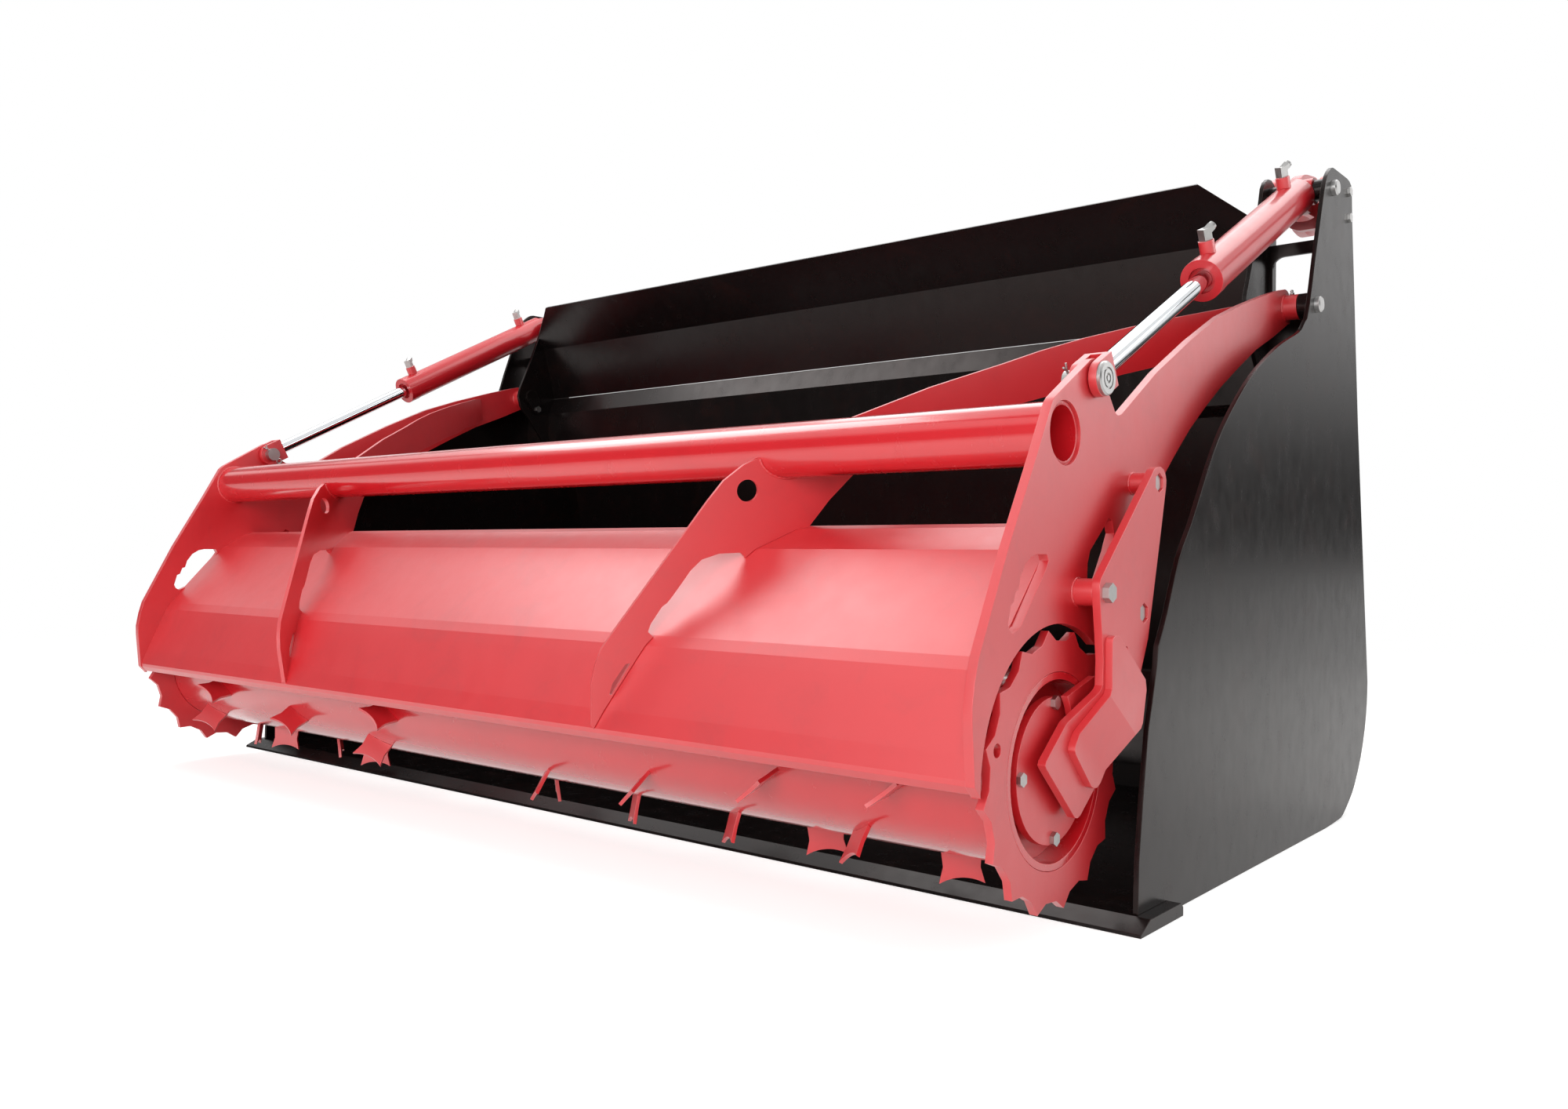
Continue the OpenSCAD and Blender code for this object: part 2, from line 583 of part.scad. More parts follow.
module keeper_bolts() {
    x0 = tower_in - keeper_t;
    color("#8b8c8d") both() for (s = [keeper_bolt_share, base_keeper_bolt_share]) {
        bar_x(x0, tower_out, at(s), keeper_bolt_d);
        hex_x(x0 - keeper_head_w / 3, keeper_head_w / 3, at(s), keeper_head_w);
    }
}
module pivot_spacers() {
    hole = pin_d + 2 * run_gap;
    color("#1c1c1d") both() {
        ring_x(half_w + sleeve_len + side_gap, side_in, pivot, ring_d, hole);
        ring_x(tower_out, arm_in - sleeve_len + sleeve_len / 4, pivot, ring_d, hole);
    }
}
module eye_spacers() {
    hole = pin_d + 2 * run_gap;
    color("#1c1c1d") both() {
        ring_x(arm_mid + eye_len / 2 + side_gap, side_in, base_pin, eye_ring_d, hole);
        ring_x(tower_out, arm_mid - eye_len / 2 - side_gap, base_pin, eye_ring_d, hole);
    }
}

// Grab frame
bolt_shares = [spacer_top_share, spacer_mid_share, third_bolt_share];
module arm_outline() {
    polygon(concat(all_at(arm_front_shares), arc(rod_pin, half_w * ear_r_share, 121, 60, 8),
        arc(rod_pin, half_w * ear_back_r_share, 50, -15, 8), all_at(arm_top_shares),
        arc(pivot, half_w * arm_end_r_share, 118, -50, 20), all_at(arm_low_shares)));
}
module ear_slot() {
    d = rod_pin_d + 2 * half_w * ear_play_share;
    side = half_w * ear_side_share;
    low = rod_pin + [side, -half_w * ear_down_share];
    high = rod_pin + [side, half_w * ear_up_share];
    bar_x(arm_in - cut, half_w + cut, low, d);
    bar_x(arm_in - cut, half_w + cut, high, d);
    slab(arm_in - cut, arm_t + 2 * cut) polygon([low - [d / 2, 0], low + [d / 2, 0], high + [d / 2, 0],
        high - [d / 2, 0]]);
}
module arm() {
    difference() {
        slab(arm_in, arm_t) arm_outline();
        bar_x(arm_in - cut, half_w + cut, rotor, 2 * (disc_tip_r + disc_clear));
        bar_x(arm_in - cut, half_w + cut, tube, tube_d + 2 * run_gap);
        bar_x(arm_in - cut, half_w + cut, pivot, pin_d + 2 * run_gap);
        slab(arm_in - cut, arm_t + 2 * cut) polygon(all_at(arm_slot_shares));
        slab(arm_in - cut, arm_t + 2 * cut) polygon(all_at(arm_window_shares));
        ear_slot();
        for (s = [spacer_top_share, spacer_mid_share])
            bar_x(arm_in - cut, half_w + cut, at(s), bracket_bolt_d + 2 * run_gap);
    }
}
module arm_right() {
    color("#e03a44") arm();
}
module arm_left() {
    color("#e03a44") other() arm();
}
module pivot_sleeves() {
    hole = pin_d + 2 * run_gap;
    inner = arm_in - sleeve_len + sleeve_len / 4 + side_gap;
    color("#d42b35") both() {
        ring_x(half_w, half_w + sleeve_len, pivot, ring_d, hole);
        ring_x(inner, arm_in, pivot, ring_d, hole);
    }
}
module cross_tube() {
    end = half_w - tube_recess;
    color("#e4404a") ring_x(-end, end, tube, tube_d, tube_d - 2 * tube_wall);
}
module hood() {
    color("#e4404a") slab(-arm_in, 2 * arm_in) strip(all_at(hood_shares), hood_t);
}
// The rib lies in an oblique plane: points of the side view are laid out on that plane
rib_turn = -atan(rib_y_slope);
rib_lean = atan(rib_z_slope * cos(rib_turn));
rib_ahead = [-sin(rib_turn), cos(rib_turn), 0];
rib_up = [sin(rib_lean) * cos(rib_turn), sin(rib_lean) * sin(rib_turn), cos(rib_lean)];
function rib_point(s) = let (v = half_w * [rib_y_slope * s[0] + rib_z_slope * s[1], s[0], s[1]])
    [v * rib_ahead, v * rib_up];
function rib_points(l) = [for (s = l) rib_point(s)];
module on_rib() {
    translate([half_w * rib_x_share, y_of(0), z_of(0)]) rotate([0, rib_lean, rib_turn]) rotate([90, 0, 90])
        children();
}
module rib() {
    difference() {
        on_rib() translate([0, 0, -rib_t / 2]) linear_extrude(height = rib_t)
            polygon(rib_points(concat(rib_front_shares, reversed(hood_edge_shares), rib_back_shares)));
        bar_x(0, half_w, tube, tube_d + 2 * run_gap);
        on_rib() translate([0, 0, -rib_t]) linear_extrude(height = 2 * rib_t) {
            polygon(rib_points(rib_window_shares));
            polygon(rib_points(rib_slot_shares));
        }
        on_rib() translate([rib_point(rib_hole_share)[0], rib_point(rib_hole_share)[1], -rib_t])
            cylinder(h = 2 * rib_t, d = rib_hole_d);
        slab(0, 2 * half_w) strip(all_at(hood_shares), half_w * hood_reach_share);
        slab(arm_in, half_w) square(2 * half_w);
    }
}
module rib_right() {
    color("#d8323c") rib();
}
module rib_left() {
    color("#d8323c") other() rib();
}
// The bracket is one plate bent at a slant fold, cut to its outline
bracket_out = half_w * bracket_out_share;
module bent(inward, outward) {
    lift = half_w * (bracket_out_share - tongue_out_share);
    run = half_w * tongue_share;
    path = [[bracket_out, half_w / 3], [bracket_out, 0], [bracket_out - lift, -run],
        [bracket_out - lift, -half_w / 5]];
    translate([0, at(fold_share)[0], at(fold_share)[1]]) rotate([fold_turn, 0, 0]) rotate([90, 0, 0])
        translate([0, 0, -half_w / 2]) linear_extrude(height = half_w)
            polygon(concat(shifted(path, outward, false), reversed(shifted(path, -inward, false))));
}
tongue_in = half_w * tongue_out_share - bracket_t;
module bracket_blank() {
    intersection() {
        bent(bracket_t, 0);
        slab(arm_in, half_w / 4) polygon(all_at(bracket_shares));
    }
}
module bracket() {
    difference() {
        bracket_blank();
        for (s = bolt_shares)
            bar_x(half_w, bracket_out + cut, at(s), bracket_bolt_d + 2 * run_gap);
        for (s = sunk_bolt_shares)
            hex_x(bracket_out - bolt_sink - bracket_head_h / 2, bracket_head_h + cut, at(s),
                bracket_head_w + 2 * side_gap);
        bar_x(half_w, bracket_out + cut, at(small_hole_share), bracket_bolt_d / 2);
    }
}
module bracket_right() {
    color("#e03a44") bracket();
}
module bracket_left() {
    color("#e03a44") other() bracket();
}
module cover() {
    intersection() {
        bent(0, cover_t);
        slab(arm_in, half_w / 4) polygon(all_at(cover_shares));
    }
}
module bracket_doubler_right() {
    color("#e03a44") cover();
}
module bracket_doubler_left() {
    color("#e03a44") other() cover();
}
module bracket_spacers() {
    hole = bracket_bolt_d + 2 * run_gap;
    x1 = bracket_out - bracket_t;
    color("#d42b35") both() {
        ring_x(half_w, x1, at(spacer_top_share), spacer_top_d, hole);
        ring_x(half_w, x1, at(spacer_mid_share), spacer_mid_d, hole);
    }
}
module bracket_bolts() {
    h = bracket_head_h;
    color("#b9babb") both() {
        for (s = [spacer_top_share, spacer_mid_share])
            difference() {
                hex_x(arm_in - h, h, at(s), bracket_head_w);
                bar_x(arm_in - h - cut, arm_in + cut, at(s), bracket_bolt_d);
            }
        for (s = sunk_bolt_shares)
            hex_x(bracket_out - bolt_sink - h / 2, h / 2, at(s), bracket_head_w);
        hex_x(bracket_out, h, at(spacer_mid_share), bracket_head_w);
        bar_x(arm_in - h, bracket_out - bolt_sink - h / 4, at(spacer_top_share), bracket_bolt_d);
        bar_x(arm_in - h, bracket_out + h / 2, at(spacer_mid_share), bracket_bolt_d);
        bar_x(bracket_out - bracket_t, bracket_out - bolt_sink - h / 4, at(third_bolt_share), bracket_bolt_d);
    }
}

module bracket_gussets() {
    color("#e03a44") both() difference() {
        slab(tongue_in - gusset_back, gusset_t) polygon(all_at(gusset_shares));
        bracket_blank();
    }
}

// Rotor
module toothed_outline() {
    pitch = 360 / tooth_count;
    polygon([for (i = [0 : tooth_count - 1]) each [polar(rotor, disc_tip_r, tooth_start + i * pitch),
        polar(rotor, disc_root_r, tooth_start + (i + root_lead_share) * pitch),
        polar(rotor, disc_root_r, tooth_start + (i + root_trail_share) * pitch)]]);
}
module toothed_disc() {
    difference() {
        slab(disc_in, disc_t) toothed_outline();
        bar_x(disc_in - cut, disc_in + disc_t + cut, rotor, drum_d + 2 * disc_gap);
        bar_x(disc_in - cut, disc_in + disc_t + cut, polar(rotor, drum_d / 2 + disc_rim_w * disc_hole_share, disc_hole_turn),
            disc_hole_d);
    }
}
module toothed_disc_right() {
    color("#d8434c") toothed_disc();
}
module toothed_disc_left() {
    color("#d8434c") other() toothed_disc();
}
drum_end = disc_in + disc_t - disc_gap;
module drum() {
    color("#e4404a") ring_x(-drum_end, drum_end, rotor, drum_d, drum_d - 2 * drum_wall);
}
// One knife stands along +Z before it is turned into place
module knife() {
    low = drum_d / 2 - drum_wall;
    sag = knife_hollow;
    half = knife_tip_w / 2;
    r = (half * half + sag * sag) / (2 * sag);
    tip_z = sqrt(knife_tip_r * knife_tip_r - half * half);
    side_z = (drum_d / 2 + tip_z) / 2;
    waist = min(knife_root_w, knife_tip_w) / 2 - knife_hollow / 4;
    spread = asin(half / r);
    rotate([90, 0, 0]) translate([0, 0, -knife_t / 2]) linear_extrude(height = knife_t)
        polygon(concat([[-knife_root_w / 2, low], [knife_root_w / 2, low], [knife_root_w / 2, drum_d / 2],
            [waist, side_z]], arc([0, tip_z + r - sag], r, -90 + spread, -90 - spread, 10),
            [[-waist, side_z], [-knife_root_w / 2, drum_d / 2]]));
}
module placed_knives(way) {
    difference() {
        for (k = knife_places)
            if (k[2] == way)
                translate([half_w * k[0], rotor[0], rotor[1]]) rotate([k[1] - 90, 0, 0])
                    rotate([0, 0, -way * knife_twist]) knife();
        bar_x(-half_w, half_w, rotor, drum_d);
    }
}
module knives_right_hand() {
    color("#d2303a") placed_knives(1);
}
module knives_left_hand() {
    color("#d2303a") placed_knives(-1);
}
module end_flanges() {
    hole = spigot_d + 2 * run_gap;
    color("#dc3c46") both() difference() {
        union() {
            bar_x(flange_out - flange_t, flange_out, rotor, flange_d);
            bar_x(flange_out - flange_t - bulkhead_gap, flange_out - flange_t, rotor, neck_d);
        }
        bar_x(flange_out - flange_t - bulkhead_gap - cut, flange_out + cut, rotor, hole);
        for (i = [0 : flange_bolt_count - 1])
            bar_x(flange_out - flange_t - cut, flange_out + cut,
                polar(rotor, flange_bolt_circle_d / 2, i * 360 / flange_bolt_count), flange_bolt_d + 2 * run_gap);
    }
}
module drum_bulkheads() {
    x1 = flange_out - flange_t - bulkhead_gap;
    color("#c32a33") both() ring_x(x1 - flange_t, x1, rotor, drum_d - 2 * drum_wall, spigot_d + 2 * run_gap);
}
module flange_bolts() {
    color("#c2c3c4") both() for (i = [0 : flange_bolt_count - 1]) {
        c = polar(rotor, flange_bolt_circle_d / 2, i * 360 / flange_bolt_count);
        bar_x(flange_out - flange_t, flange_out, c, flange_bolt_d);
        hex_x(flange_out, flange_head_h, c, flange_head_w);
    }
}
module drive_motors() {
    color("#3b3b3d") both() bar_x(tongue_in - half_w * motor_len_share, tongue_in, rotor, spigot_d);
}

// Cylinders: drawn along +X of a local frame that starts at the base pin and runs to the rod pin
module on_line() {
    translate([arm_mid, base_pin[0], base_pin[1]]) rotate([tilt, 0, 0]) rotate([0, 0, -90]) children();
}
// A round piece along the cylinder line
module bar_line(a, b, d) {
    translate([a, 0, 0]) rotate([0, 90, 0]) cylinder(h = b - a, d = d);
}
module barrel() {
    start = eye_ring_d / 2 + side_gap;
    difference() {
        union() {
            on_line() bar_line(start, barrel_len - gland_len, barrel_d);
            bar_x(arm_mid - eye_len / 2, arm_mid + eye_len / 2, base_pin, eye_d);
        }
        on_line() bar_line(start + barrel_d / 3, barrel_len, barrel_bore_d);
        bar_x(arm_mid - eye_len, arm_mid + eye_len, base_pin, pin_d + 2 * run_gap);
        for (s = [port_front_share, port_back_share])
            on_line() translate([reach * s, 0, 0]) cylinder(h = barrel_d, d = port_d / 2);
    }
}
module barrel_right() {
    color("#e03a44") barrel();
}
module barrel_left() {
    color("#e03a44") other() barrel();
}
module gland() {
    on_line() difference() {
        bar_line(barrel_len - gland_len, barrel_len, gland_d);
        bar_line(barrel_len - gland_len - cut, barrel_len + cut, rod_d + 2 * run_gap);
        bar_line(barrel_len - gland_recess_h, barrel_len + cut, gland_recess_d);
    }
}
module gland_right() {
    color("#e03a44") gland();
}
module gland_left() {
    color("#e03a44") other() gland();
}
// Bosses, open down the middle, that stand on the barrel
module ports() {
    for (s = [port_front_share, port_back_share])
        on_line() difference() {
            translate([reach * s, 0, 0]) cylinder(h = barrel_d / 2 + port_h, d = port_d);
            translate([reach * s, 0, 0]) cylinder(h = barrel_d + port_h, d = port_d / 2);
            bar_line(0, reach, barrel_d);
        }
}
module port_bosses_right() {
    color("#d42b35") ports();
}
module port_bosses_left() {
    color("#d42b35") other() ports();
}
// A block with a turned nipple, pointing to the outer rear
module elbow() {
    w = elbow_w;
    base = barrel_d / 2 + port_h;
    cylinder(h = base + w / 3, d = port_d / 2 - run_gap);
    translate([0, 0, base]) rotate([0, 0, elbow_turn]) {
        translate([-w / 2, -w / 2, 0]) cube([w, w, elbow_h]);
        translate([0, 0, elbow_h - w / 2]) rotate([0, 65, 0]) cylinder(h = w * 1.35, d = w * 0.85);
        translate([0, 0, elbow_h - w / 2]) rotate([0, 65, 0]) cylinder(h = w, d = w * 1.1, $fn = 6);
    }
}
module elbows() {
    for (s = [port_front_share, port_back_share])
        on_line() difference() {
            translate([reach * s, 0, 0]) elbow();
            bar_line(0, reach, barrel_bore_d);
        }
}
module elbow_fittings_right() {
    color("#c9cacb") elbows();
}
module elbow_fittings_left() {
    color("#c9cacb") other() elbows();
}
module rod() {
    start = reach * rod_end_share;
    on_line() {
        bar_line(start + rod_d, reach - half_w * cheek_back_share, rod_d);
        bar_line(start, start + rod_d, barrel_bore_d - 2 * run_gap);
    }
}
module rod_right() {
    color("#d7d8d9") rod();
}
module rod_left() {
    color("#d7d8d9") other() rod();
}
// Two cheeks rounded at the front and square at the rear, joined by a bridge
module clevis() {
    back = half_w * cheek_back_share;
    front = half_w * bridge_share;
    gap = arm_t / 2 + 2 * side_gap;
    on_line() translate([reach, 0, 0]) difference() {
        union() {
            for (s = [-1, 1])
                translate([0, s * (gap + cheek_t / 2), 0]) rotate([90, 0, 0])
                    translate([0, 0, -cheek_t / 2]) linear_extrude(height = cheek_t)
                        polygon(concat(arc([0, 0], cheek_r, -90, 90, 24), [[-back, cheek_r], [-back, -cheek_r]]));
            translate([-back, -gap, -cheek_r]) cube([back - front, 2 * gap, 2 * cheek_r]);
        }
        translate([0, -half_w / 10, 0]) rotate([-90, 0, 0]) cylinder(h = half_w / 5, d = rod_pin_d + 2 * run_gap);
    }
}
module clevis_right() {
    color("#e03a44") clevis();
}
module clevis_left() {
    color("#e03a44") other() clevis();
}
cheek_out = arm_mid + arm_t / 2 + 2 * side_gap + cheek_t;
cheek_in = arm_mid - arm_t / 2 - 2 * side_gap - cheek_t;
// One turned profile: inner collar, shank and a grooved head
module rod_pin_solid() {
    r = rod_head_d / 2;
    step = rod_head_h / 3;
    top = cheek_out + rod_head_h;
    groove = top - step;
    difference() {
        translate([0, rod_pin[0], rod_pin[1]]) rotate([0, 90, 0]) rotate_extrude()
            polygon([[0, cheek_in - 4 * wire_d], [rod_collar_d / 2, cheek_in - 4 * wire_d],
                [rod_collar_d / 2, cheek_in], [rod_pin_d / 2, cheek_in], [rod_pin_d / 2, cheek_out],
                [r, cheek_out], [r, groove], [r - step, top], [r * 0.64, top], [r * 0.64, groove],
                [r * 0.52, groove], [r * 0.52, top], [r * 0.3, top], [r * 0.3, groove], [r * 0.16, groove],
                [r * 0.16, top], [0, top]]);
        translate([cheek_in - 2 * wire_d, rod_pin[0], rod_pin[1]]) rotate([tilt + 20, 0, 0])
            translate([0, 0, -rod_collar_d]) cylinder(h = 2 * rod_collar_d, d = wire_d + 2 * run_gap);
    }
}
module rod_pin_right() {
    color("#c2c3c4") rod_pin_solid();
}
module rod_pin_left() {
    color("#c2c3c4") other() rod_pin_solid();
}
// Round eye, straight shank and two spread ends
module split_pin() {
    eye = 2 * wire_d;
    half = rod_collar_d / 2;
    translate([cheek_in - 2 * wire_d, rod_pin[0], rod_pin[1]]) rotate([tilt + 20, 0, 0]) {
        translate([0, 0, -half - eye / 2]) cylinder(h = 2 * half + eye, d = wire_d);
        translate([0, 0, -half - eye]) rotate([0, 90, 0]) translate([0, 0, -wire_d / 2])
            rotate_extrude($fn = 32) translate([eye - wire_d / 2, wire_d / 2]) circle(d = wire_d * 0.8, $fn = 16);
        for (s = [-1, 1])
            translate([0, 0, half + eye / 2 - wire_d / 4]) rotate([s * 26, 0, 0])
                cylinder(h = 3 * wire_d, d = wire_d * 0.8);
    }
}
module split_pin_right() {
    color("#a9aaab") split_pin();
}
module split_pin_left() {
    color("#a9aaab") other() split_pin();
}

back_sheet();
side_plate_right();
side_plate_left();
wear_bar();
upper_panel();
cross_beam();
inner_tower_right();
inner_tower_left();
tower_web_right();
tower_web_left();
hitch_hook_right();
hitch_hook_left();
hitch_tubes();
hook_bolts();
grab_pivot_pins();
base_pins();
pin_keepers();
keeper_bolts();
pivot_spacers();
eye_spacers();
arm_right();
arm_left();
pivot_sleeves();
cross_tube();
hood();
rib_right();
rib_left();
bracket_right();
bracket_left();
bracket_doubler_right();
bracket_doubler_left();
bracket_gussets();
bracket_spacers();
bracket_bolts();
toothed_disc_right();
toothed_disc_left();
drum();
knives_right_hand();
knives_left_hand();
end_flanges();
drum_bulkheads();
flange_bolts();
drive_motors();
barrel_right();
barrel_left();
gland_right();
gland_left();
port_bosses_right();
port_bosses_left();
elbow_fittings_right();
elbow_fittings_left();
rod_right();
rod_left();
clevis_right();
clevis_left();
rod_pin_right();
rod_pin_left();
split_pin_right();
split_pin_left();
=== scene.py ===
import json
import math

import bmesh
import bpy
from mathutils import Matrix, Vector


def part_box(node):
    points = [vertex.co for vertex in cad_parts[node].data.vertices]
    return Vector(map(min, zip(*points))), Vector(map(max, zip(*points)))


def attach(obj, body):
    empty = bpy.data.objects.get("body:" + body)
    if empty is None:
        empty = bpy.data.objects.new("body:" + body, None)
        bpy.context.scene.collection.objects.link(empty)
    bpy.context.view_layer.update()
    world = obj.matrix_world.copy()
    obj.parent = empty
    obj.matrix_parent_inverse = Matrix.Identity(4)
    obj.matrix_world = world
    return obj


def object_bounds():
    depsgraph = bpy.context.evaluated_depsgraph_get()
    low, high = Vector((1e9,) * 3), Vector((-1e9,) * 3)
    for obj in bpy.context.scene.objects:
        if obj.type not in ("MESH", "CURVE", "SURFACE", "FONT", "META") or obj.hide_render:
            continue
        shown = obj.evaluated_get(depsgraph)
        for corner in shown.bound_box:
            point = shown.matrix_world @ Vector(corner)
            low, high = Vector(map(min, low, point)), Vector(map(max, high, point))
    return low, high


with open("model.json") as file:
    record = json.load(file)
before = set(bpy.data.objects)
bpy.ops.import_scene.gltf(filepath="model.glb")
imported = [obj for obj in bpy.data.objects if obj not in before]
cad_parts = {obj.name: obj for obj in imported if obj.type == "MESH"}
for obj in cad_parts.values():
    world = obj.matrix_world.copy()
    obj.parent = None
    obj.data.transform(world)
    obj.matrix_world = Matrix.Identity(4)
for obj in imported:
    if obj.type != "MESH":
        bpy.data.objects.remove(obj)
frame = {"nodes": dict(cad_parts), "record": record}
cadLow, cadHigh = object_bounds()
nodes = frame["nodes"]
print("stage: frame loaded,", len(nodes), "nodes")

mm = 0.001
sides = (("right", 1), ("left", -1))   # the sign turns a place on the right side to the left one


# Small helpers

def linearColour(code):
    # sRGB hex to the linear values that the shaders take
    parts = [int(code[i:i + 2], 16) / 255 for i in (1, 3, 5)]
    linear = [c / 12.92 if c <= 0.04045 else ((c + 0.055) / 1.055) ** 2.4 for c in parts]
    return (*linear, 1.0)


def addNode(tree, kind, settings=None, links=None):
    # settings fill properties by name and inputs by name or number, links feed inputs from sockets
    node = tree.nodes.new(kind)
    for key, value in (settings or {}).items():
        if isinstance(key, str) and hasattr(node, key):
            setattr(node, key, value)
        else:
            node.inputs[key].default_value = value
    for key, socket in (links or {}).items():
        tree.links.new(socket, node.inputs[key])
    return node


def newMaterial(name):
    material = bpy.data.materials.new(name)
    material.use_nodes = True
    material.node_tree.nodes.clear()
    return material, material.node_tree


def noiseScale(sizeMm):
    # cells to the metre, for cells of this many millimetres
    return 1000 / sizeMm


def addObject(name, data):
    item = bpy.data.objects.new(name, data)
    bpy.context.scene.collection.objects.link(item)
    return item


# Powder-coated plate: a thick pebbled skin, so highlights are wide and soft

redPowderCoat = {
    "name": "redPowderCoatSteel",
    "colour": "#dd212a",       # signal red
    "deeper": "#cb1923",       # where the coat lies thicker
    "stain": "#a8262b",        # handling marks
    "stainShare": 0.22,
    "edge": "#f04c52",         # lighter red on the edges: a painted highlight, also standing for the coat worn thin there
    "roughness": (0.38, 0.50),
    "ior": 1.5,
    "tint": "#ffffff",
    "coat": 1.0,
    "coatRoughness": 0.4,
    "coatIor": 1.8,            # the pigment-rich skin reflects more than clear lacquer
    "smearStretch": (1.0, 1.0, 0.7),   # smears are drawn out downwards
    "peelMm": 2.8,             # orange peel cell, drawn coarser than the real 1 mm so that it shows
    "peelDepthMm": 0.11,
    "cloudMm": 190,            # size of the thicker and thinner areas
    "edgeMm": 2.2,             # how far from an edge the painted highlight and thin coat reach
    "edgeShare": 0.5,
}

# Sprayed black paint on plate: a thin film, dull seen square on and glossy at a glancing angle

blackBucketPaint = {
    "name": "blackSprayedSteel",
    "colour": "#130e0e",
    "deeper": "#080707",
    "stain": "#26120f",        # rust brown that shines through where the coat is thin
    "stainShare": 0.45,
    "edge": "#4a3f3c",
    "roughness": (0.20, 0.29),
    "ior": 1.37,
    "tint": "#fff0ec",         # a film of dust warms what it mirrors
    "coat": 0.0,               # no skin above the pigment
    "coatRoughness": 0.2,
    "coatIor": 1.5,
    "smearStretch": (1.0, 1.0, 0.6),
    "peelMm": 3.2,
    "peelDepthMm": 0.012,
    "cloudMm": 240,
    "edgeMm": 1.8,
    "edgeShare": 0.7,
}

# Stoved enamel on drawn tube: smoother than the plates, so that lamps show as clear streaks
tubeEnamel = dict(redPowderCoat, name="redGlossEnamelTube", roughness=(0.24, 0.28),
                  coatRoughness=0.13, coatIor=1.6, peelMm=14.0, peelDepthMm=0.001, stainShare=0.06)

# Lacquered barrels: one thin coat over honed tube, less deep than the stoved enamel
# the red here is a little darker than the plates': painted shade, holding back the strong lamp
# light on the barrels
barrelLacquer = dict(tubeEnamel, name="redLacqueredBarrel", colour="#d2202a", deeper="#c01823",
                     roughness=(0.30, 0.36), coat=0.5, coatIor=1.5, coatRoughness=0.1)

# Painted sand casting: a coarse grain that breaks up every highlight
motorCasting = dict(blackBucketPaint, name="sandCastMotorPaint", colour="#1d1c1e",
                    deeper="#111012", peelMm=1.8, peelDepthMm=0.2, roughness=(0.45, 0.62))

# What all painted surfaces share
paintPattern = {
    "smearMm": 34,             # smears of wiping and rain
    "markMm": 95,              # patches where the coat is stained
    "markRange": (0.52, 0.72),     # values of the noise at which a patch starts and is full
    "smearRange": (0.3, 0.7),      # values of the noise that give the lowest and highest roughness
    "edgeRange": (0.97, 0.8),      # cosine of the bend at which an edge starts and is full
    "edgeGain": 1.7,
    "peelStrength": 0.35,
}


